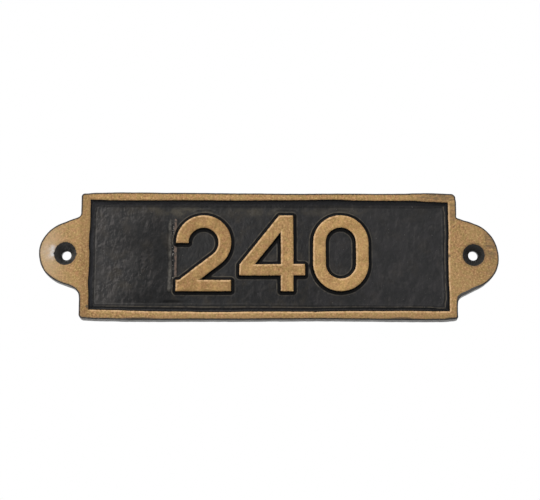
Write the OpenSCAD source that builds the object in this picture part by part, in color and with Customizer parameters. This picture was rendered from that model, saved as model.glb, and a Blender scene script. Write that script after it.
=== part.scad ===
// A cast door sign in one piece: a plate with a raised rim, a sunk field, three raised
// numerals and a lug at each end with a countersunk screw hole.
// X runs to the right, Z up, and the sign faces -Y with its flat back on Y = 0.

/* [Body] */
// Width of the face between the lugs
body_w = 180.4; // [170:0.2:220]
// Height of the face
body_h = 61; // [56:0.2:72]
// Thickness from the flat back to the raised face
body_t = 5.5; // [5:0.1:7]
// Radius of the face's four corners
corner_r = 1.5; // [1:0.1:3]
// Draft of the outer walls in degrees
body_draft = 4; // [2:0.5:10]
// Rounding along the outer edge of the face
body_edge = 0.4; // [0.2:0.05:0.8]

/* [Lugs] */
// Reach of each lug beyond the body
lug_reach = 19.9; // [18:0.1:26]
// Radius of each lug's tip
tip_r = 15.5; // [13:0.5:17]
// Slope of the left lug's shoulders, from its tip to the body, in degrees
left_slope = 20; // [10:1:26]
// Slope of the right lug's shoulders, in degrees
right_slope = 24; // [10:1:26]
// Rise of the left lug above the body's middle
left_rise = 1.7; // [-2:0.1:2]
// Rise of the right lug above the body's middle
right_rise = -0.4; // [-2:0.1:2]
// Radius of the hollow where an upper shoulder runs into the body
upper_hollow_r = 2; // [1.8:0.1:3]
// Radius of the hollow where a lower shoulder runs into the body
lower_hollow_r = 4; // [1.8:0.1:5]
// Draft of the lugs' walls in degrees
lug_draft = 3; // [1:0.5:10]

/* [Screw holes] */
// Distance between the two holes
hole_gap = 196.6; // [194:0.2:200]
// Rise of the holes above the body's middle
hole_rise = 0.8; // [-1.5:0.1:1.5]
// Diameter of each hole
hole_d = 4.65; // [4:0.05:5.5]
// Diameter of the countersink at the face
sink_d = 10.9; // [9:0.1:11.5]
// Full angle of the countersink
sink_angle = 90; // [82:1:100]

/* [Sunk field] */
// Width of the rim at the two sides
rim_side = 3.3; // [2.6:0.1:5]
// Width of the rim along the top
rim_top = 2.9; // [2.6:0.1:5]
// Width of the rim along the bottom
rim_low = 3.4; // [2.6:0.1:5]
// Height of the rim and the numerals above the field
relief = 2; // [1.6:0.1:2.6]
// Draft of the walls round the field and the numerals
relief_draft = 12; // [6:1:16]
// Rounding along the top of those walls
relief_edge = 0.35; // [0.2:0.05:0.5]
// Fillet at the foot of the rim's walls
rim_foot_r = 1.6; // [0.6:0.1:1.6]
// Fillet at the foot of the numerals' walls
num_foot_r = 0.7; // [0.5:0.1:1]
// Radius of the field's corners at the rim's edge
field_r = 1; // [0.5:0.1:2]
// Turn of the field in its rim, as cast
field_turn = -0.3; // [-0.6:0.1:0.6]

/* [Numerals] */
// Height of the numerals
num_h = 36.5; // [34:0.5:40]
// Width of the curved and upright strokes
stem = 5.5; // [4.5:0.1:6.5]
// Width of the level strokes
bar = 4.9; // [4:0.1:6]
// Width of the two and the nought
num_w = 26; // [24:0.5:28]
// Width of the four
four_w = 31; // [29:0.5:33]
// Space from one numeral to the next
num_gap = 4.5; // [4.4:0.1:7]
// Middle of the row, to the right of the body's middle
row_x = 1.8; // [-4:0.1:4]
// Foot of the row, below the body's middle
row_foot = 16.9; // [16:0.1:19]

/* [Hidden] */
$fn = 96;
// Segments in the rounding at a wall's top and in the fillet at its foot
edge_steps = 2;
foot_steps = 4;
// The fillet at the rim's foot, held to what the height of its walls leaves room for
rim_foot = min(rim_foot_r, relief - relief_edge);
// How far pieces run into each other, and how far cutters clear what they cut
lap = 0.3;
bury = 0.8;
inset = 1;
inward = 2;
clear = 1;
// A turn stands this much proud of the straights that it joins, so that each joint is clean
proud = 0.02;
// How far inside a corner its turn is centred, and how far it runs back over the walls, in degrees
pivot = 0.1;
overlap = 5;
// The plate is drawn down from its face, a little past its back, and then cut flat
deep = body_t + clear;

// A length to the nearest thousandth, so that pieces with the same section meet exactly
function fine(x) = round(1000 * x) / 1000;

// Unit vector at an angle
function dir(a) = [cos(a), sin(a)];

// Points along an arc, as a list of [x, y]
function arc(c, r, a, b, n) = [for (i = [0:n])
    let (p = c + r * dir(a + (b - a) * i / n)) [fine(p.x), fine(p.y)]];

// How far a wall reaches out, from its top edge to its foot
function reach(h, edge, foot, draft) =
    fine((foot + edge) * cos(draft) + (h - (foot + edge) * (1 - sin(draft))) * tan(draft));

// A wall's points as [out, up], down from its top edge at [0, 0]
function relief_reach(foot) = reach(relief, relief_edge, foot, relief_draft);
function relief_wall(foot) = concat(
    arc([0, -relief_edge], relief_edge, 90, relief_draft, edge_steps),
    arc([relief_reach(foot), foot - relief], foot, 180 + relief_draft, 270, foot_steps));
function body_wall(draft) = concat(
    arc([0, -body_edge], body_edge, 90, draft, edge_steps),
    [[reach(deep, body_edge, 0, draft), -deep]]);

// Section of a numeral's wall, solid from x = from to its top edge at x = edge
module relief_section(from, edge) {
    foot = -relief - bury;
    wall = [for (p = relief_wall(num_foot_r)) [edge + p.x, p.y]];
    polygon(concat([[from, foot], [from, 0]], wall, [[edge + relief_reach(num_foot_r), foot]]));
}

// Section of a whole stroke of a numeral, w wide at its top
module stroke_section(w) {
    foot = -relief - bury;
    wall = relief_wall(num_foot_r);
    right = [for (p = wall) [w / 2 + p.x, p.y]];
    left = [for (i = [len(wall) - 1:-1:0]) [-w / 2 - wall[i].x, wall[i].y]];
    outer = w / 2 + relief_reach(num_foot_r);
    polygon(concat([[-outer, foot]], left, right, [[outer, foot]]));
}

// Section across the sunk field, w wide between the rim's edges
module field_section(w) {
    wall = relief_wall(rim_foot);
    left = [for (p = wall) [p.x - w / 2, p.y]];
    right = [for (i = [len(wall) - 1:-1:0]) [w / 2 - wall[i].x, wall[i].y]];
    polygon(concat([[-w / 2, clear]], left, right, [[w / 2, clear]]));
}

// Section of the outer wall, solid from x = from to the face's edge at x = edge
module body_section(from, edge, draft = body_draft) {
    polygon(concat([[from, -deep], [from, 0]], [for (p = body_wall(draft)) [edge + p.x, p.y]]));
}

// Carries a section straight from p to q, with the section's x to the right of the way.
// It runs on by before and after at the two ends.
module run(p, q, before = 0, after = 0) {
    way = q - p;
    translate(q) rotate([0, 0, atan2(way.y, way.x)]) translate([after, 0, 0]) rotate([90, 0, -90])
        linear_extrude(before + norm(way) + after) children();
}

// Turns a section about c from angle a to angle b, with the section's x outward
module turn(c, a, b) {
    translate(c) rotate_extrude(angle = b - a, start = a) children();
}

// The turn of a relief wall round an outward corner, where walls face angles a and b
module corner(p, a, b) {
    turn(p - pivot * dir((a + b) / 2), a - overlap, b + overlap) relief_section(0, pivot + proud);
}

// How far an outline turns at its corner i, to the left, in degrees
function swing(corners, i) =
    let (n = len(corners), p = corners[i], a = p - corners[(i + n - 1) % n], b = corners[(i + 1) % n] - p)
    (atan2(b.y, b.x) - atan2(a.y, a.x) + 540) % 360 - 180;

// A flat-topped raised shape with straight sides: corners run anticlockwise, a gap's clockwise
module pad(corners, gap = []) {
    translate([0, 0, -relief - bury]) linear_extrude(relief + bury) difference() {
        polygon(corners);
        if (len(gap) > 0) polygon(gap);
    }
    pad_walls(corners);
    if (len(gap) > 0) pad_walls(gap);
}

// The walls along an outline. Each runs on at an inward corner, and turns round an outward one.
module pad_walls(corners) {
    n = len(corners);
    for (i = [0:n - 1]) {
        next = (i + 1) % n;
        way = corners[next] - corners[i];
        side = atan2(way.y, way.x) - 90;
        bend = swing(corners, next);
        run(corners[i], corners[next], swing(corners, i) < 0 ? lap : 0, bend < 0 ? lap : 0)
            relief_section(-lap, 0);
        if (bend > 0) corner(corners[next], side, side + bend);
    }
}

// The flat end of a stroke w wide that stops at p, facing angle a
module stroke_end(p, a, w) {
    left = p + w / 2 * dir(a + 90);
    right = p - w / 2 * dir(a + 90);
    run(right, left) relief_section(-proud, 0);
    corner(left, a, a + 90);
    corner(right, a - 90, a);
}

// A two: an arc over the top, a slant and a level foot
module two() {
    r = (num_w - stem) / 2;
    c = [num_w / 2, num_h - num_w / 2];
    // The slant leaves the arc where it can run straight to the foot's left end
    foot = [stem / 2, bar / 2];
    span = c - foot;
    leave = round(2 * (atan2(span.y, span.x) - asin(r / norm(span)) - 90)) / 2;
    start = c + r * dir(leave);
    fall = (start.y - foot.y) / cos(leave);
    turn(c, leave, 180) translate([r, 0]) stroke_section(stem + 2 * proud);
    stroke_end([stem / 2, c.y], -90, stem);
    run(start, start + fall * dir(leave - 90), lap) stroke_section(stem);
    pad([[0, 0], [num_w, 0], [num_w, bar], [0, bar]]);
}

// A four: a slant, a level bar and an upright, round a three-cornered gap
module four() {
    right = four_w * 0.82;
    left = right - stem;
    low = num_h * 0.21;
    high = low + bar;
    // The slant's outer edge runs from the bar's left end to the top beside the upright
    peak = left - 0.8;
    slope = (num_h - high) / peak;
    // The slant is about as wide as the other strokes, measured square to it
    level = (stem - 0.4) * norm([1, slope]) / slope;
    gap_top = high + (left - level) * slope;
    pad([[0, low], [left, low], [left, 0], [right, 0], [right, low], [four_w, low],
        [four_w, high], [right, high], [right, num_h], [peak, num_h], [0, high]],
        [[left, high], [level, high], [left, gap_top]]);
}

// A nought: two arcs joined by upright sides
module nought() {
    r = (num_w - stem) / 2;
    c = num_w / 2;
    turn([c, num_h - c], 0, 180) translate([r, 0]) stroke_section(stem);
    turn([c, c], 180, 360) translate([r, 0]) stroke_section(stem);
    for (x = [stem / 2, num_w - stem / 2]) run([x, c], [x, num_h - c]) stroke_section(stem);
}

// The row of numerals, with their tops level with the face
module numerals() {
    row_w = 2 * num_w + four_w + 2 * num_gap;
    translate([row_x - row_w / 2, -row_foot, 0]) {
        two();
        translate([num_w + num_gap, 0, 0]) four();
        translate([num_w + four_w + 2 * num_gap, 0, 0]) nought();
    }
}

// The cutter for the sunk field: what its two crossed sections share, with its corners rounded
module field() {
    w = body_w - 2 * rim_side;
    h = body_h - rim_top - rim_low;
    translate([0, (rim_low - rim_top) / 2, 0]) rotate([0, 0, field_turn]) intersection() {
        run([-w, 0], [w, 0]) field_section(h);
        run([0, -h], [0, h]) field_section(w);
        translate([0, 0, -relief - clear]) linear_extrude(relief + 3 * clear) rounded(w, h, field_r);
    }
}

// A rectangle on the middle with its corners rounded
module rounded(w, h, r) {
    square([w - 2 * r, h], center = true);
    square([w, h - 2 * r], center = true);
    for (x = [r - w / 2, w / 2 - r], y = [r - h / 2, h / 2 - r]) translate([x, y]) circle(r);
}

// The body: its middle, its four edges and its four corners
module slab() {
    x = body_w / 2 - corner_r;
    y = body_h / 2 - corner_r;
    translate([0, 0, -deep / 2]) cube([body_w - corner_r, body_h - corner_r, deep], center = true);
    run([-x, -body_h / 2], [x, -body_h / 2]) body_section(-inward, 0);
    run([body_w / 2, -y], [body_w / 2, y]) body_section(-inward, 0);
    run([x, body_h / 2], [-x, body_h / 2]) body_section(-inward, 0);
    run([-body_w / 2, y], [-body_w / 2, -y]) body_section(-inward, 0);
    turn([x, y], 0, 90) body_section(0, corner_r);
    turn([-x, y], 90, 180) body_section(0, corner_r);
    turn([-x, -y], 180, 270) body_section(0, corner_r);
    turn([x, -y], 270, 360) body_section(0, corner_r);
}

// A lug on the body's right side: a round tip, two shoulders and a hollow at each root
module lug(rise, slope) {
    middle = [lug_reach - tip_r, 0];
    tip = 90 - slope;
    // Along a shoulder, from the tip's arc to the line of the body's side
    shoulder = (middle.x + tip_r * sin(slope)) / cos(slope);
    root = [0, tip_r * cos(slope) + shoulder * sin(slope)];
    // The flat middle keeps back from the edges and runs on into the body
    core_tip = middle + (tip_r - inset) * dir(tip - 2 * overlap);
    core_root = root - [inset, inset];
    translate([body_w / 2, rise, 0]) {
        turn(middle, -tip, tip) body_section(0, tip_r + proud, lug_draft);
        translate([0, 0, -deep]) linear_extrude(deep) polygon([middle + [tip_r / 2, 0], core_tip,
            core_root, [core_root.x, -core_root.y], [core_tip.x, -core_tip.y]]);
        for (side = [[0, upper_hollow_r], [1, lower_hollow_r]]) mirror([0, side[0], 0]) {
            r = side[1];
            run(middle + tip_r * dir(tip), root, lap, inset) body_section(-inward, 0, lug_draft);
            turn(root + r * [1, tan(tip / 2)], 180, 180 + tip)
                translate([r - proud, 0]) mirror([1, 0]) body_section(-inward, 0, lug_draft);
        }
    }
}

// The cutter for one countersunk screw hole
module screw_hole() {
    slope = tan(sink_angle / 2);
    depth = (sink_d - hole_d) / 2 / slope;
    translate([0, 0, -deep - clear]) cylinder(h = deep + 2 * clear, d = hole_d);
    translate([0, 0, -depth]) cylinder(h = depth + clear, d1 = hole_d, d2 = sink_d + 2 * clear * slope);
}

// The whole casting, lying on its back with its face at the height of zero
module casting() {
    difference() {
        union() {
            slab();
            lug(right_rise, right_slope);
            mirror([1, 0, 0]) lug(left_rise, left_slope);
        }
        field();
        for (x = [-hole_gap / 2, hole_gap / 2]) translate([x, hole_rise, 0]) screw_hole();
        // What runs on past the flat back
        translate([0, 0, -body_t - deep / 2]) cube([2 * body_w, 2 * body_h, deep], center = true);
    }
    numerals();
}

// The sign, upright with its back on Y = 0
module sign_plate() {
    color([0.70, 0.57, 0.37]) rotate([90, 0, 0]) translate([0, 0, body_t]) casting();
}

sign_plate();
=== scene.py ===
import math
from itertools import product
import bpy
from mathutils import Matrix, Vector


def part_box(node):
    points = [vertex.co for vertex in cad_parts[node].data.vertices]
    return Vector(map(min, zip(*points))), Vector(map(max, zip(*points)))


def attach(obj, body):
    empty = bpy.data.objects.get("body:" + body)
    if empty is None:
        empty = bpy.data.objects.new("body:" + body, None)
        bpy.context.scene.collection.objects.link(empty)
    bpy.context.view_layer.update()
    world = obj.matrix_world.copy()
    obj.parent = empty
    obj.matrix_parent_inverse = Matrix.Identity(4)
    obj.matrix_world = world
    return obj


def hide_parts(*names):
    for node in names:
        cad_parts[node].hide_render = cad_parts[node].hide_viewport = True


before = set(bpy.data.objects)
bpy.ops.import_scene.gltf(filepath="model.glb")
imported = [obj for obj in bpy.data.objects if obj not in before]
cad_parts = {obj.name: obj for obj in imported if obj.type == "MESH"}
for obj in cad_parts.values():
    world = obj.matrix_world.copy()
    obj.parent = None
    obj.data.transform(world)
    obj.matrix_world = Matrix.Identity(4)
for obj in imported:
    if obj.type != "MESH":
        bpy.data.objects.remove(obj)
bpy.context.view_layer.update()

from types import SimpleNamespace

import bmesh
import bpy
import numpy as np
from mathutils import Vector, kdtree

# A cast and painted door sign. Sizes are in millimetres: x to the right, z up, and depth from the
# raised face back to the wall. THICK, RELIEF and HOLES repeat the part's source.
MM = 0.001
THICK = 5.5
RELIEF = 2.0
HOLES = np.array([[-98.3, 0.8], [98.3, 0.8]])

# How far the walls and their painted shade reach from a raised edge: at the rim's ends, along its long
# sides, and round the numerals
END_REACH, SIDE_REACH, NUMERAL_REACH = 2.0, 2.4, 1.975

# An edge nearer than this to a hole's middle is its countersink's, and one inside this height is
# the field's or a numeral's. A point outside the other two is nearest to the rim
SINK_ZONE, INNER_ZONE_Z = 6, 29
RIM_ZONE_X, RIM_ZONE_Z = 55, 22.5

# The way to the lamp in the plane of the face, as (x, z)
TO_LAMP = (-0.8, 0.6)

# The fine copy's cells, where the first one starts (off the part's own edges), the cuts along y,
# and the spacing of the samples along the raised edges
GRID = 0.8
GRID_START = 0.37
DEPTH_CUTS = [-4.6, -4.05, -2.9, -1.7, -0.6]
SAMPLE = 0.1

# The unevenness of this one casting. The body's long edges, as (x, shift up):
TOP_OUTLINE = [(-90, -0.1), (-83, 0.32), (-72, 0.5), (-60, 0.42), (-48, 0.22), (-20, 0), (25, -0.25),
               (45, -0.2), (63, -0.22), (76, 0), (90, -0.4)]
LOW_OUTLINE = [(-90, 0.65), (-81, 0.2), (-68, -0.05), (-45, -0.02), (-14, -0.15), (5, -0.02), (25, 0.2),
               (44, -0.05), (60, -0.1), (72, -0.25), (83, -0.25), (90, 0.25)]
# The rim's inner edges, as (x, shift up), and at the two ends as (z, shift right):
TOP_INNER = [(-85, -0.1), (-74, -0.3), (-60, -0.3), (-45, -0.2), (-25, -0.15), (-5, -0.05), (5, 0.13),
             (18, 0.25), (33, 0.45), (43, 0.1), (60, 0.1), (70, 0.1), (77, -0.4), (85, -0.65)]
LOW_INNER = [(-85, 0.3), (-74, 0.1), (-64, -0.15), (-50, -0.3), (-40, -0.4), (-31, -0.6), (-20, -0.6),
             (-8, -0.35), (10, -0.2), (22, -0.15), (30, 0.08), (42, 0.2), (55, 0.3), (66, 0.5),
             (72, 0.4), (80, 0.2), (85, 0.3)]
LEFT_INNER = [(-26, 0.7), (-20, 0.6), (-12, 0.1), (-5, 0.4), (1, 0.4), (5, 0.15), (9, 0.2), (15, 0.5),
              (26, 0.35)]
RIGHT_INNER = [(-24, 0.15), (-19, 0.3), (-12, 0.05), (0, 0), (5, 0.1), (12, 0.38), (18, 0.2), (26, 0.15)]
# The rim's width, from the middle of the sign: where an inner edge's shift starts and is full, and
# where it fades and ends, as an outer edge's takes over
RIM_Z = (23.5, 25.5, 28, 29.9)
RIM_X = (83, 85.5, 88, 90)
# Each lug's outline round the lug's middle, by side, as (degrees up from straight outward, shift out)
LUG_X, LUG_Z = 94.5, 0.3
LUG_OUTLINES = {
    -1: [(-110, 0.3), (-90, -0.35), (-70, -0.25), (-50, -0.2), (-30, 0.05), (0, -0.1), (20, -0.1),
         (40, -0.45), (60, -0.55), (90, -0.45), (110, -0.3)],
    1: [(-110, 0.5), (-90, 0.75), (-70, 0.4), (-50, 0.25), (-25, 0.53), (10, 0.3), (40, 0.5),
        (65, 0.82), (80, 0.75), (92, 0.3), (110, 0.2)],
}
# The hollows between body and lugs, as (x, z, shift right, square of the width)
HOLLOWS = ((-92, -17.5, -0.5, 6), (92.5, -20.5, 0.75, 6), (-92.8, 18.6, 0.45, 1.6), (91.8, 18.6, -0.45, 1.6))
# Three of the body's corners, as (side, level, shift out)
CORNERS = ((-1, 1, 0.18), (1, 1, -0.12), (1, -1, 0.1))
# How far each hole is off its place, and how much more its bore is, as (x, z)
OFF_CENTRE = ((0.5, 0.25), (0.45, -0.4))
LEAN = ((0.2, -0.35), (0.2, 0.15))

# Marks on the face, as (x, z, half width, half height, strength)
SMEARS = ((82, 29, 10, 2.2, 0.7), (89, 22, 1.8, 7, 0.45), (107.5, 7, 3.5, 8, 0.7), (108, -8, 3, 5, 0.35))
BROWNISH = ((-38, 22, 10, 2.6, 0.9), (-4, 22, 12, 2.2, 0.5), (34, 22, 14, 2.4, 0.5), (-57, 23, 7, 3, 0.5),
            (-31, -14, 5, 4, 0.4))
DARKER = ((-63, 8, 13, 7, 0.5), (-58, -20, 12, 4, 0.7), (-52, -2, 3.5, 14, 0.5), (-47, -21.8, 6, 0.9, 0.9))
DULLER = ((-54, 0, 9, 22, 0.35), (-56, -20, 14, 5, 0.4), (-63, 8, 12, 6, 0.25), (0, -20, 60, 8, 0.15),
          (-47, -21.8, 6, 0.9, 0.7))
# Chips in the gold's outer edge, as (x, z, half width, half height, share of the gold left)
CHIPS = ((-61.5, -30.6, 8, 0.9, 0.35), (63.5, -30.6, 5.5, 0.9, 0.35), (87, -30.6, 2.5, 0.9, 0.35),
         (87, 0, 0.6, 0.7, 0.35), (-86.6, -24.5, 0.8, 0.8, 0.35))


class Noise:
    """Smooth gradient noise from about -1 to 1 on an array of points, the same on every run."""

    def __init__(self, seed):
        rng = np.random.default_rng(seed)
        self.order = rng.permutation(256)
        way = rng.normal(size=(256, 3))
        self.way = way / np.linalg.norm(way, axis=1)[:, None]
        self.shift = rng.uniform(0, 90, 3)

    def __call__(self, points, size, stretch=(1, 1, 1)):
        q = points / (size * np.array(stretch, float)) + self.shift
        cell = np.floor(q).astype(int)
        part = q - cell
        blend = part ** 3 * (part * (part * 6 - 15) + 10)
        total = np.zeros(len(points))
        for corner in product((0, 1), repeat=3):
            at = cell + corner
            pick = self.order[(self.order[(self.order[at[:, 0] & 255] + at[:, 1]) & 255] + at[:, 2]) & 255]
            weight = np.prod(np.where(corner, blend, 1 - blend), axis=1)
            total += weight * np.einsum("ij,ij->i", self.way[pick], part - corner)
        return total * 1.6


WAVE, LUMP, GRAIN, FINE = Noise(3), Noise(5), Noise(8), Noise(13)


def rise(value, low, high):
    """0 below low, 1 above high, smooth between them."""
    t = np.clip((value - low) / (high - low), 0, 1)
    return t * t * (3 - 2 * t)


def band(value, start, full, fade, end):
    """1 from full to fade, 0 before start and after end, smooth between them."""
    return rise(value, start, full) * (1 - rise(value, fade, end))


def along(value, stops):
    """A smooth curve through (place, height) stops."""
    place, height = np.array(stops, float).T
    i = np.clip(np.searchsorted(place, value) - 1, 0, len(place) - 2)
    t = rise(value, place[i], place[i + 1])
    return height[i] + (height[i + 1] - height[i]) * t


def raised_edges(bm):
    """Samples in mm along the edges of the raised face, and the way that the wall at each sample
    faces, as (x, z)."""
    tops, ways = [], []
    for edge in bm.edges:
        level = [loop for loop in edge.link_loops if loop.face.normal.y < -0.9999]
        if len(level) == 1 and max(v.co.y for v in edge.verts) / MM + THICK < 0.01:
            a, b = (np.array(loop.vert.co) / MM for loop in (level[0], level[0].link_loop_next))
            length = np.linalg.norm(b - a)
            steps = max(2, int(length / SAMPLE))
            tops.append(a + (b - a) * np.linspace(0, 1, steps)[:, None])
            ways.append(np.tile((b - a)[[2, 0]] * (1, -1) / max(length, 1e-6), (steps, 1)))
    return np.concatenate(tops), np.concatenate(ways)


def split(bm, faces, axis, cuts):
    """Cuts the faces at each place in mm along an axis, from the middle of the list outwards, and
    gives all the faces made."""
    if not cuts or not faces:
        return faces
    middle = len(cuts) // 2
    normal = Vector([float(i == axis) for i in range(3)])
    geometry = list({v for f in faces for v in f.verts}) + list({e for f in faces for e in f.edges}) + faces
    made = bmesh.ops.bisect_plane(bm, geom=geometry, dist=1e-7, plane_co=normal * cuts[middle] * MM,
                                  plane_no=normal)
    made = [f for f in made["geom"] if isinstance(f, bmesh.types.BMFace)]
    above = [f.calc_center_bounds()[axis] > cuts[middle] * MM for f in made]
    return (split(bm, [f for f, a in zip(made, above) if not a], axis, cuts[:middle])
            + split(bm, [f for f, a in zip(made, above) if a], axis, cuts[middle + 1:]))


def fine_copy(node, name):
    """A copy of a CAD node's mesh, cut into a fine grid in front of its flat back, and samples of
    its raised edges."""
    bm = bmesh.new()
    bm.from_mesh(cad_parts[node].data)
    bmesh.ops.remove_doubles(bm, verts=bm.verts, dist=2e-6)
    bmesh.ops.dissolve_limit(bm, angle_limit=math.radians(0.2), verts=bm.verts, edges=bm.edges)
    low, high = (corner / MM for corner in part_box(node))
    tops, ways = raised_edges(bm)

    front = [f for f in bm.faces if f.normal.y < 0.99]
    front = split(bm, front, 1, DEPTH_CUTS)
    front = split(bm, front, 2, list(np.arange(low.z + GRID_START, high.z, GRID)))
    split(bm, front, 0, list(np.arange(low.x + GRID_START, high.x, GRID)))
    bmesh.ops.triangulate(bm, faces=bm.faces)
    mesh = bpy.data.meshes.new(name)
    bm.to_mesh(mesh)
    bm.free()
    return mesh, tops, ways


def nearest(points, samples):
    """Distance in the plane of the face from each point to the nearest sample, and which that is."""
    tree = kdtree.KDTree(len(samples))
    for i, (x, _, z) in enumerate(samples):
        tree.insert((x, z, 0), i)
    tree.balance()
    found = [tree.find((x, z, 0)) for x, _, z in points]
    return np.array([f[2] for f in found]), np.array([f[1] for f in found])


def places(p, tops, ways):
    """Where each point lies: how deep it is, how far it is from the edges of the countersinks, of
    the outline and of the field and numerals, and whether its nearest inner edge faces the lamp."""
    from_hole = np.linalg.norm(tops[:, None, ::2] - HOLES[None], axis=2).min(axis=1)
    at_sink = from_hole < SINK_ZONE
    inside = (np.abs(tops[:, 0]) < RIM_X[2]) & (np.abs(tops[:, 2]) < INNER_ZONE_Z)

    g = SimpleNamespace(p=p, x=p[:, 0], z=p[:, 2], depth=p[:, 1] + THICK)
    g.sink, _ = nearest(p, tops[at_sink])
    g.outer, _ = nearest(p, tops[~inside & ~at_sink])
    g.lip, at_lip = nearest(p, tops[inside])
    g.lit = ways[inside][at_lip] @ TO_LAMP
    g.rim = (np.abs(g.x) > RIM_ZONE_X) | (np.abs(g.z) > RIM_ZONE_Z)
    rim_reach = END_REACH + (SIDE_REACH - END_REACH) * rise(np.abs(g.z), 21, 23)
    g.past = g.lip - np.where(g.rim, rim_reach, NUMERAL_REACH)
    g.on_field = rise(g.depth, RELIEF - 0.25, RELIEF - 0.02) * (g.depth < RELIEF + 0.01)
    g.on_top = 1 - rise(g.depth, 0, 0.12)
    return g


def outline(g):
    """The shift right and up by which the outline, the rim and the strokes wander."""
    p, x, z = g.p, g.x, g.z
    # One slow wave and two fine ones, with p moved on so that up and right differ
    push_x = 0.16 * WAVE(p, 22) + 0.05 * FINE(p, 5) + 0.045 * FINE(p, 1.9)
    push_z = 0.14 * WAVE(p + 300, 26) + 0.05 * FINE(p + 300, 5) + 0.045 * FINE(p + 300, 1.9)
    between_ends = 1 - rise(np.abs(x), 87.2, 88.5)
    for level, outer, inner in ((1, TOP_OUTLINE, TOP_INNER), (-1, LOW_OUTLINE, LOW_INNER)):
        push_z += along(x, outer) * rise(level * z, *RIM_Z[2:])
        push_z += along(x, inner) * between_ends * band(level * z, *RIM_Z)
    for side, inner in ((-1, LEFT_INNER), (1, RIGHT_INNER)):
        push_x += along(z, inner) * band(side * x, *RIM_X) * (1 - rise(np.abs(z), 27, 29))

    # The body's right end stands out near its top, and hollows and corners differ from one another
    push_x += 0.35 * rise(x, 88.5, 89.5) * band(z, 17, 20, 26, 28.5)
    for hollow_x, hollow_z, push, wide in HOLLOWS:
        push_x += push * np.exp(-((x - hollow_x) ** 2 + (z - hollow_z) ** 2) / wide)
    for side, level, out in CORNERS:
        push = out * rise(side * x, 88.4, 89.9) * rise(level * z, 28.6, 30.2)
        push_x += side * push
        push_z += level * push

    for side, stops in LUG_OUTLINES.items():
        out_x, out_z = side * x - LUG_X, z - LUG_Z
        angle = np.degrees(np.arctan2(out_z, out_x))
        radius = np.hypot(out_x, out_z)
        shift = along(angle, stops) * rise(radius, 8, 14) * rise(side * x, 89.5, 91.5)
        push_x += side * shift * out_x / np.maximum(radius, 1)
        push_z += shift * out_z / np.maximum(radius, 1)
    return push_x, push_z


def drilling(g):
    """The shift right and up that the holes have from being drilled by hand."""
    x, z = g.x, g.z
    push_x, push_z = np.zeros((2, len(x)))
    # Two nicks in the left countersink's edge, which is a little taller than it is wide
    left_x, left_z = x - HOLES[0, 0], z - HOLES[0, 1]
    turn = np.degrees(np.arctan2(left_z, left_x))
    nick = np.exp(-((np.abs(turn) - 180) / 5) ** 2) + 0.7 * np.exp(-((turn + 3) / 6) ** 2)
    nick *= np.exp(-(g.sink / 0.5) ** 2) * (x < -88) * (1 - rise(g.depth, 0.5, 1.2))
    push_x += 0.45 * nick * np.sign(left_x)
    push_z += band(np.hypot(left_x, left_z), 2.6, 5.2, 6, 9) * (0.1 + 0.065 * left_z)
    # Both holes are a little off, and not quite square
    for (hole_x, hole_z), (off_x, off_z), (lean_x, lean_z) in zip(HOLES, OFF_CENTRE, LEAN):
        from_middle = np.hypot(x - hole_x, z - hole_z)
        near = 1 - rise(from_middle, 5.8, 9)
        bore = rise(g.depth, 1.5, 3.2) * (from_middle < 4)
        push_x += near * (off_x + bore * lean_x)
        push_z += near * (off_z + bore * lean_z)
    return push_x, push_z


def seam_height(g):
    """Two ragged ridges side by side, which stand to the left of the first numeral."""
    upright, ragged = g.p * (0, 0, 1), g.p * (0.6, 0, 1)
    first_x = -46.5 + 0.6 * FINE(upright, 9) + 0.5 * FINE(upright + 9, 3)
    second_x = first_x + 1.5 + 0.4 * FINE(upright + 30, 4)
    first = 0.5 * np.exp(-((g.x - first_x + 0.9) / 0.8) ** 2) * (0.85 + 0.5 * FINE(ragged + 50, 2.6))
    second = 0.55 * np.exp(-((g.x - second_x) / 0.5) ** 2) * (0.85 + 0.6 * FINE(ragged + 70, 1.7))
    return (first + second) * g.on_field * band(g.z, -18, -16, 17.5, 19)


def relief(g):
    """How far the surface stands out: the sand's lumps, drawn out upwards in the field and finer on
    the raised parts, the seam, and a low step along inside the rim's walls."""
    rough = 1 + 0.7 * rise(-g.x, 20, 70)
    high = g.on_field * rough * (0.08 * LUMP(g.p, 4.2, (1, 1, 1.5)) + 0.06 * GRAIN(g.p, 1.9, (1, 1, 1.3)))
    high += g.on_top * 0.02 * GRAIN(g.p, 2.3)
    high += g.seam
    high += g.rim * 0.12 * (1 - rise(g.past, 1.0, 1.5)) * g.on_field
    return high


def dress(mesh, tops, ways):
    """Gives the mesh the unevenness of a sand casting, and attributes that say where each point lies."""
    p = np.zeros(len(mesh.vertices) * 3, np.float32)
    mesh.vertices.foreach_get("co", p)
    p = p.reshape(-1, 3).astype(float) / MM
    g = places(p, tops, ways)
    g.seam = seam_height(g)
    (outline_x, outline_z), (hole_x, hole_z) = outline(g), drilling(g)
    moved = p + np.stack([outline_x + hole_x, -relief(g), outline_z + hole_z], axis=1)
    mesh.vertices.foreach_set("co", (moved * MM).astype(np.float32).ravel())
    for name in ("depth", "lip", "lit", "outer", "sink", "past", "rim", "seam"):
        attribute = mesh.attributes.new(name, "FLOAT", "POINT")
        attribute.data.foreach_set("value", getattr(g, name).astype(np.float32))
    mesh.shade_smooth()


def rgb(red, green, blue):
    """A colour as seen on screen, from 0 to 255, as Blender's linear one."""
    return tuple(((c / 255 + 0.055) / 1.055) ** 2.4 if c > 10 else c / 255 / 12.92
                 for c in (red, green, blue)) + (1,)


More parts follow.
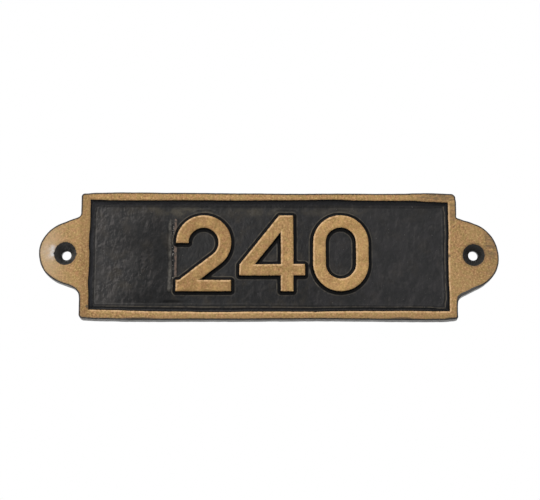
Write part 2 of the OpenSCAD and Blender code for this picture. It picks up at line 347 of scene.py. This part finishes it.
class Paint:
    """Short ways to write a material's nodes."""

    def __init__(self, name):
        self.material = bpy.data.materials.new(name)
        self.material.use_nodes = True
        self.tree = self.material.node_tree
        self.shader = self.tree.nodes["Principled BSDF"]
        place = self.tree.nodes.new("ShaderNodeTexCoord").outputs["Object"]
        self.place = self.vector("SCALE", place, scale=1 / MM)

    def plug(self, socket, value):
        if isinstance(value, bpy.types.NodeSocket):
            self.tree.links.new(value, socket)
        elif value is not None:
            socket.default_value = value

    def make(self, kind, inputs, **settings):
        node = self.tree.nodes.new(kind)
        for key, value in settings.items():
            setattr(node, key, value)
        for key, value in inputs.items():
            self.plug(node.inputs[key], value)
        return node

    def vector(self, operation, a, b=None, scale=None):
        node = self.make("ShaderNodeVectorMath", {0: a, 1: b}, operation=operation)
        if scale is not None:
            node.inputs["Scale"].default_value = scale
        return node.outputs[0]

    def math(self, operation, a, b=None):
        return self.make("ShaderNodeMath", {0: a, 1: b}, operation=operation).outputs[0]

    def attribute(self, name):
        return self.make("ShaderNodeAttribute", {}, attribute_name=name).outputs["Fac"]

    def noise(self, size, detail=2.0, rough=0.5, shift=(0, 0, 0), stretch=(1, 1, 1), swirl=0.0):
        """Noise of about size mm, from 0 to 1 with a middle of 0.5."""
        place = self.vector("ADD", self.vector("DIVIDE", self.place, stretch), shift)
        inputs = {"Vector": place, "Scale": 1 / size, "Detail": detail, "Roughness": rough,
                  "Distortion": swirl}
        return self.make("ShaderNodeTexNoise", inputs).outputs["Fac"]

    def step(self, value, low, high, to_low=0.0, to_high=1.0):
        """to_low where value is under low, to_high where it is over high, smooth between them."""
        inputs = {"Value": value, "From Min": low, "From Max": high, "To Min": to_low, "To Max": to_high}
        return self.make("ShaderNodeMapRange", inputs, interpolation_type="SMOOTHSTEP").outputs["Result"]

    def fall(self, value, low, high, top=1.0):
        """top where value is under low, 0 where it is over high, smooth between them."""
        return self.step(value, low, high, top, 0.0)

    def mix(self, share, a, b):
        return self.make("ShaderNodeMix", {0: share, 6: a, 7: b}, data_type="RGBA").outputs[2]

    def blend(self, share, a, b):
        return self.make("ShaderNodeMix", {0: share, 2: a, 3: b}, data_type="FLOAT").outputs[0]

    def times(self, first, *rest):
        for other in rest:
            first = self.math("MULTIPLY", first, other)
        return first

    def spot(self, x, z, wide, high, soft=0.5):
        """1 in the middle of an ellipse on the face, 0 outside it."""
        away = self.vector("MULTIPLY", self.vector("SUBTRACT", self.place, (x, 0, z)),
                           (1 / wide, 0, 1 / high))
        length = self.make("ShaderNodeVectorMath", {0: away}, operation="LENGTH").outputs["Value"]
        return self.fall(length, 1 - soft, 1 + soft)


class Coat:
    """A colour built up in layers."""

    def __init__(self, paint, colour):
        self.paint = paint
        self.colour = colour

    def add(self, colour, *shares):
        """Lays a colour over the ones before it, as thickly as the product of the shares says."""
        self.colour = self.paint.mix(self.paint.times(*shares), self.colour, colour)


def regions(m):
    """The mesh's attributes, and the parts of the casting that the paint tells apart."""
    names = ("depth", "lip", "lit", "outer", "sink", "past", "rim", "seam")
    at = SimpleNamespace(**{name: m.attribute(name) for name in names})
    at.across, _, at.up = m.make("ShaderNodeSeparateXYZ", {0: m.place}).outputs
    at.numeral = m.math("SUBTRACT", 1.0, at.rim)
    # Inside the rim's right end the walls' painted shade is a little narrower than elsewhere
    at.past = m.math("ADD", at.past, m.times(at.rim, m.step(at.across, 78, 82), 0.45))
    inside = m.times(m.step(at.depth, 0.1, 0.25), m.step(at.outer, 2.0, 2.6), m.step(at.sink, 6, 7))
    at.walls = m.times(inside, m.fall(at.past, -0.25, 0.15))
    at.wall_feet = m.times(inside, at.rim, m.fall(at.past, 0.9, 1.6))
    at.in_sink = m.fall(at.sink, 5.0, 6.0)
    at.right_half = m.step(at.across, 0, 1)
    at.front = m.fall(at.depth, THICK - 0.2, THICK - 0.05)
    # Under the right lug's shoulder the gold stops short of the edge
    at.shoulder = m.spot(97, -17.5, 8, 4, 0.5)
    at.grain = m.noise(0.9, 3.0, 0.75)
    return at


def gold_colour(m, at):
    """Two hues in patches, a grain, and a slow change along the sign, with a painted highlight on the left
    lug, a pale scuff there that is partly a painted highlight, painted highlight and shade along the inner
    edges, and dirty outer edges.
    """
    hue = m.step(m.noise(1.9, 2.0, 0.6, shift=(9, 4, 2)), 0.38, 0.62)
    gold = Coat(m, m.mix(hue, rgb(166, 135, 84), rgb(177, 134, 91)))
    coarse = m.blend(m.step(at.across, -92, -88), 0.65, m.step(at.across, -70, -40, 0.85, 0.7))
    gold.add(rgb(98, 76, 44), m.fall(at.grain, 0.3, 0.5), coarse)
    gold.add(rgb(232, 196, 138), m.step(at.grain, 0.5, 0.7), coarse)
    gold.add(rgb(190, 158, 108), m.step(m.noise(16, 2.0, 0.5, shift=(3, 8, 5)), 0.35, 0.65, 0.0, 0.25))
    # A painted highlight on the left lug
    gold.add(rgb(214, 184, 146), m.spot(-107, 2, 7, 13, 0.6), 0.4)
    gold.add(rgb(122, 92, 56), m.step(at.across, -92.5, -89), m.fall(at.across, -87, -84), 0.35)
    gold.add(rgb(120, 98, 68), m.step(at.across, 60, 110, 0.0, 0.15))
    # A grey painted highlight at the sign's far left
    gold.add(rgb(172, 160, 136), m.fall(at.across, -106, -90, 0.16))

    # The numerals grow lighter to the right, in soft patches
    gold.add(rgb(118, 84, 42), at.numeral, m.step(at.across, -42, 40, 0.24, 0.02))
    gold.add(rgb(230, 186, 116), at.numeral, m.step(at.across, 5, 45, 0.0, 0.14))
    soft = m.noise(5, 2.0, 0.5, shift=(7, 5, 3))
    gold.add(rgb(122, 88, 46), at.numeral, m.fall(soft, 0.3, 0.5, 0.3))
    gold.add(rgb(224, 182, 116), at.numeral, m.step(soft, 0.5, 0.72, 0.0, 0.3))

    # Along the inner edges: a painted highlight where they face up and left, towards the lamp, and painted
    # shade where they face away
    ragged = m.step(m.noise(1.6, 1.0, shift=(5, 1, 7)), 0.35, 0.55, 0.25, 1.0)
    edge_light_and_shade = m.times(m.fall(at.lip, 0.3, 0.75, 0.85), ragged)
    gold.add(rgb(222, 184, 138), edge_light_and_shade, m.step(at.lit, 0.0, 0.7))
    gold.add(rgb(122, 96, 62), edge_light_and_shade, m.fall(at.lit, -0.7, -0.1, 0.35))
    # Grimy along the outline, wider at the foot of the sign, and round the countersinks
    ragged = m.step(m.noise(2.6, 1.0, shift=(2, 6, 1)), 0.25, 0.6, 0.4, 1.0)
    gold.add(rgb(100, 84, 62), m.fall(at.outer, 0.1, 0.8, 0.6), ragged)
    gold.add(rgb(110, 84, 52), m.fall(at.outer, 0.3, 3.0, 0.3), m.fall(at.up, -27, -25))
    gold.add(rgb(92, 76, 54), m.fall(at.sink, 0.1, 1.2, 0.4), m.step(at.across, 0, 1, 0.4, 1.0))

    # Dark smears at the top right corner and the right lug's edge, and a pale scuff on the left lug that is
    # partly wear and partly a painted highlight
    smear = m.step(m.noise(1.5, 3.0, 0.65, shift=(4, 4, 4), stretch=(3, 1, 0.8)), 0.35, 0.6)
    for x, z, wide, high, strength in SMEARS:
        gold.add(rgb(100, 85, 67), m.spot(x, z, wide, high), smear, strength)
    scuff_and_glare = m.step(m.noise(1.2, 3.0, 0.7, stretch=(1.6, 1, 1.3)), 0.3, 0.6, 0.25, 1.0)
    gold.add(rgb(216, 208, 200), m.spot(-105.6, 1.9, 3.2, 3.6, 0.7), scuff_and_glare, 0.3)
    gold.add(rgb(212, 214, 216), m.spot(-103.8, 1.9, 1.5, 2.7, 0.8), scuff_and_glare, 0.9)
    return gold.colour


def field_colour(m, at):
    """Black: grey at the left as a painted sheen, lumpy there with the lumps' light and shade painted,
    darker round the numerals, with crumbs of grey and of dust.
    """
    base = m.mix(m.step(at.across, 20, 60), rgb(7, 7, 8), rgb(24, 24, 25))
    # Paler grey towards the left end, flat and in broad patches: a painted sheen
    black = Coat(m, m.mix(m.fall(at.across, -88, -55), base, rgb(36, 35, 35)))
    broad = m.step(m.noise(6, 2.0, 0.6, shift=(1, 7, 3), stretch=(1, 1, 1.6)), 0.42, 0.62)
    black.add(rgb(62, 58, 55), broad, m.fall(at.across, -80, -40, 0.4))
    cloud = m.step(m.noise(8, 2.0, 0.55, shift=(3, 2, 7), swirl=1.0), 0.4, 0.62)
    black.add(rgb(60, 57, 59), cloud, m.step(at.across, -60, 50, 0.0, 0.22))

    # Lumps of two sizes, with a painted highlight on one side and painted shade on the other: the difference
    # of a noise and its shifted copy
    patchy = m.step(m.noise(9, 2.0, shift=(4, 4, 1)), 0.35, 0.6, 0.4, 1.0)
    for size, away, at_left, at_right in ((3.0, (0.6, 0, -0.42), 0.55, 0.14),
                                          (1.4, (0.36, 0, -0.24), 0.52, 0.06)):
        lumps = m.math("SUBTRACT", m.noise(size, 1.5, stretch=(1, 1, 1.5), swirl=0.15),
                       m.noise(size, 1.5, stretch=(1, 1, 1.5), shift=away, swirl=0.15))
        some = m.times(m.step(at.across, -82, -42, at_left, at_right), patchy)
        black.add(rgb(101, 96, 94), m.step(lumps, 0.0, 0.16), some, 0.9)
        black.add(rgb(4, 4, 5), m.fall(lumps, -0.18, 0.0), some)

    wisp = m.step(m.noise(3.5, 3.0, 0.6, shift=(6, 3, 9), stretch=(1.5, 1, 1)), 0.4, 0.62, 0.1, 1.0)
    for x, z, wide, high, strength in BROWNISH:
        black.add(rgb(74, 68, 56), m.spot(x, z, wide, high, 0.7), wisp, strength)
    dust = m.step(m.noise(7, 3.0, 0.6, shift=(8, 1, 2)), 0.5, 0.72)
    black.add(rgb(62, 54, 42), dust, m.step(at.across, 0, 50, 0.35, 0.12))
    black.add(rgb(150, 148, 144), m.step(m.noise(0.55, 1.0, shift=(2, 9, 4)), 0.73, 0.8), 0.7)
    for x, z, wide, high, strength in DARKER:
        black.add(rgb(8, 8, 9), m.spot(x, z, wide, high, 0.6), strength)
    return black.colour


def seam_colour(m, at, colour):
    """Adds the seam: two ragged ridges, and between them a groove with bright specks."""
    black = Coat(m, colour)
    rough = m.noise(1.0, 2.0, 0.6, shift=(6, 2, 2))
    black.add(rgb(96, 92, 85), m.step(at.seam, 0.04, 0.3), m.step(rough, 0.36, 0.56, 0.5, 1.0),
              m.step(m.noise(3.5), 0.35, 0.6, 0.25, 0.75))
    black.add(rgb(124, 100, 86), m.step(at.seam, 0.1, 0.3), m.step(at.across, -46.2, -45.6),
              m.step(rough, 0.38, 0.55, 0.2, 0.7))
    wobble = m.math("ADD", at.across, m.times(m.noise(4, 2.0, 0.6, stretch=(9, 9, 1)), 1.6))
    bright = m.step(m.noise(0.7, 1.0, shift=(3, 3, 3)), 0.6, 0.7)
    black.add(m.mix(bright, rgb(4, 4, 5), rgb(150, 146, 140)), m.step(wobble, -46.2, -45.8),
              m.fall(wobble, -45.1, -44.7), m.fall(m.math("ABSOLUTE", at.up), 15, 18))
    return black.colour


def wall_colour(m, at, colour):
    """Adds painted shade on the walls round the field and the numerals and at the rim's wall feet, with a
    painted highlight along their feet and a fainter pale line farther out, then the outer walls in a pale
    grey that is partly worn paint and partly a painted sheen, the countersinks with painted highlight and
    shade, and the plain back."""
    black = Coat(m, colour)
    # Painted shade at the feet of the rim's walls, strongest at the left
    shade = m.blend(m.step(at.across, -40, 0), 0.7, m.step(at.across, 30, 70, 0.45, 0.2))
    black.add(rgb(12, 12, 13), at.wall_feet, shade)
    # A painted highlight along the feet of the walls, brightest where they face the lamp, in broken
    # stretches
    gaps = m.step(m.noise(3, 2.0), 0.35, 0.6, 0.3, 1.0)
    facing = m.step(at.lit, -0.7, 0.3, m.blend(at.rim, 0.5, 0.0), 1.0)
    strength = m.blend(at.rim, 0.6, m.step(at.across, 40, 70, 0.42, 0.55))
    black.add(rgb(108, 99, 84), m.step(at.past, -0.2, 0.05), m.fall(at.past, 0.15, 0.6),
              m.step(at.depth, 1.4, 1.8), gaps, facing, m.step(at.across, -82, -80, 0.15, 1.0), strength)
    black.add(rgb(112, 108, 102), m.step(at.past, 1.0, 1.3), m.fall(at.past, 1.5, 1.9), at.rim,
              m.fall(m.math("ABSOLUTE", at.up), 22, 24), gaps, m.step(at.across, -50, 50, 0.3, 0.15))
    # Painted shade on the walls themselves: darkest round the numerals and on the low rim's wall, a little
    # paler at the rim's left end
    wall = m.mix(m.step(at.across, -86, -84), rgb(41, 41, 43), rgb(33, 33, 35))
    wall = m.mix(m.fall(at.up, -25, -22), wall, rgb(17, 17, 18))
    black.add(m.mix(at.rim, rgb(12, 12, 13), wall), at.walls)

    # The outer walls are pale grey: partly worn paint and partly a painted sheen
    black.add(rgb(108, 106, 103), m.fall(at.outer, 1.6, 2.2), m.step(at.depth, 0.05, 0.35), 0.85)
    black.add(rgb(88, 86, 84), at.shoulder, m.fall(at.outer, 0.9, 1.3, 0.8))
    # The left countersink has a painted highlight at its right, where it faces the lamp, and painted shade
    # at its left
    black.add(m.mix(at.right_half, rgb(42, 43, 43), rgb(48, 47, 44)), at.in_sink,
              m.step(at.across, 0, 1, 0.55, 0.6))
    black.add(rgb(84, 80, 76), at.in_sink, m.spot(-93.6, 0.0, 1.4, 2.6, 0.6), 0.8)
    black.add(rgb(10, 10, 11), at.in_sink, m.spot(-99.6, 1.0, 1.6, 3.2, 0.6), 0.6)
    return m.mix(at.front, rgb(30, 30, 31), black.colour)


def dullness_and_wall_shade(m, at):
    """The black's metallic share, which takes away its pale sheen: as painted shade on the walls and at
    their feet, and in patches.
    """
    dull_and_shade = m.times(at.walls, m.step(at.past, -1.6, -0.7, 0.25, 0.8))
    dull_and_shade = m.math("MAXIMUM", dull_and_shade, m.times(at.wall_feet, 0.35))
    for x, z, wide, high, strength in DULLER:
        patch = m.times(m.spot(x, z, wide, high, 0.7), m.step(at.outer, 2.0, 2.6), strength)
        dull_and_shade = m.math("MAXIMUM", dull_and_shade, patch)
    return m.times(dull_and_shade, at.front)


def gold_share(m, at):
    """The gold ends raggedly on the rounding of the inner edges, and a little inside the outer ones,
    with a few chips in it."""
    rag = m.math("SUBTRACT", m.noise(0.9, 2.0, 0.6, shift=(7, 7, 3)), 0.5)
    inner = m.fall(m.math("ADD", at.depth, m.times(rag, 0.5)), 0.08, 0.18)
    far = m.math("SUBTRACT", at.outer, m.math("ADD", m.times(at.depth, 4.0), m.times(at.shoulder, 0.6)))
    share = m.times(inner, m.step(m.math("ADD", far, m.times(rag, 0.6)), 0.1, 0.4))
    for x, z, wide, high, left in CHIPS:
        share = m.times(share, m.blend(m.spot(x, z, wide, high, 0.4), 1.0, left))
    return share


def casting_paint():
    """Antique gold rubbed over the raised parts of a black casting."""
    m = Paint("casting")
    at = regions(m)
    is_gold = gold_share(m, at)
    black = wall_colour(m, at, seam_colour(m, at, field_colour(m, at)))
    m.plug(m.shader.inputs["Base Color"], m.mix(is_gold, black, gold_colour(m, at)))
    m.plug(m.shader.inputs["Metallic"], m.blend(is_gold, dullness_and_wall_shade(m, at), 0.4))
    sheen = m.step(m.noise(3, 2.0), 0.3, 0.7, 0.28, 0.42)
    m.plug(m.shader.inputs["Roughness"], m.blend(is_gold, sheen, 0.6))
    m.shader.inputs["Specular IOR Level"].default_value = 0.27

    sand = m.times(m.noise(1.3, 3.0, 0.6, stretch=(1, 1, 1.4)), m.step(at.across, -60, 20, 0.3, 0.15))
    height = m.blend(is_gold, sand, m.times(at.grain, 0.06))
    bump = m.make("ShaderNodeBump", {"Height": height, "Distance": MM, "Strength": 1.0})
    m.plug(m.shader.inputs["Normal"], bump.outputs["Normal"])
    return m.material


def sign():
    """The casting, which stands in for the part's one node."""
    mesh, tops, ways = fine_copy("sign_plate", "sign")
    dress(mesh, tops, ways)
    piece = bpy.data.objects.new("sign", mesh)
    bpy.context.scene.collection.objects.link(piece)
    mesh.materials.append(casting_paint())
    piece.modifiers.new("normals", "WEIGHTED_NORMAL").weight = 50
    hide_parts("sign_plate")
    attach(piece, "root")


def pale_floor():
    """A pale floor, 3 m square, out of the photograph's view."""
    half, level = 1.5, -0.4
    corners = [(x * half, y * half, level) for x, y in ((-1, -1), (1, -1), (1, 1), (-1, 1))]
    mesh = bpy.data.meshes.new("floor")
    mesh.from_pydata(corners, [], [(0, 1, 2, 3)])
    floor = bpy.data.objects.new("floor", mesh)
    paint = bpy.data.materials.new("floor")
    paint.use_nodes = True
    shader = paint.node_tree.nodes["Principled BSDF"]
    shader.inputs["Base Color"].default_value = rgb(236, 236, 236)
    shader.inputs["Roughness"].default_value = 0.9
    mesh.materials.append(paint)
    bpy.context.scene.collection.objects.link(floor)


def surround():
    """White where the camera or a reflection sees it, and dimmer as a light."""
    world = bpy.data.worlds.new("surround")
    bpy.context.scene.world = world
    world.use_nodes = True
    nodes, links = world.node_tree.nodes, world.node_tree.links
    path = nodes.new("ShaderNodeLightPath")
    seen = path.outputs["Is Camera Ray"]
    for ray in ("Is Glossy Ray", "Is Transmission Ray"):
        most = nodes.new("ShaderNodeMath")
        most.operation = "MAXIMUM"
        links.new(seen, most.inputs[0])
        links.new(path.outputs[ray], most.inputs[1])
        seen = most.outputs[0]
    level = nodes.new("ShaderNodeMapRange")
    links.new(seen, level.inputs["Value"])
    level.inputs["To Min"].default_value = 0.55
    level.inputs["To Max"].default_value = 1.0
    nodes["Background"].inputs["Color"].default_value = (1, 1, 1, 1)
    links.new(level.outputs["Result"], nodes["Background"].inputs["Strength"])


def lamp(name, place, size, power):
    """A square lamp, seen by no camera, that points at the middle of the sign."""
    data = bpy.data.lights.new(name, "AREA")
    data.size, data.energy = size, power
    item = bpy.data.objects.new(name, data)
    item.location = place
    item.rotation_euler = (-Vector(place)).to_track_quat("-Z", "Y").to_euler()
    item.visible_camera = False
    bpy.context.scene.collection.objects.link(item)


def photo_camera():
    """The photograph's camera, which stands below the sign's middle and looks up at it."""
    away, tilt = 0.5946, math.radians(10)
    photo_width = 540
    data = bpy.data.cameras.new("camera")
    data.lens = 82.43
    data.clip_start = 0.01
    data.shift_x, data.shift_y = 1.55 / photo_width, 5.8 / photo_width
    camera = bpy.data.objects.new("camera", data)
    camera.location = (0, -THICK * MM - away * math.cos(tilt), -away * math.sin(tilt))
    camera.rotation_euler = (math.radians(90) + tilt, 0, 0)
    bpy.context.scene.collection.objects.link(camera)
    bpy.context.scene.camera = camera
    bpy.context.scene.view_settings.view_transform = "Standard"


sign()
pale_floor()
surround()
lamp("key", (-0.2, -0.7, 0.9), 0.7, 5.0)
lamp("strip", (-0.22, -0.88, 0.16), 0.16, 0.5)
photo_camera()
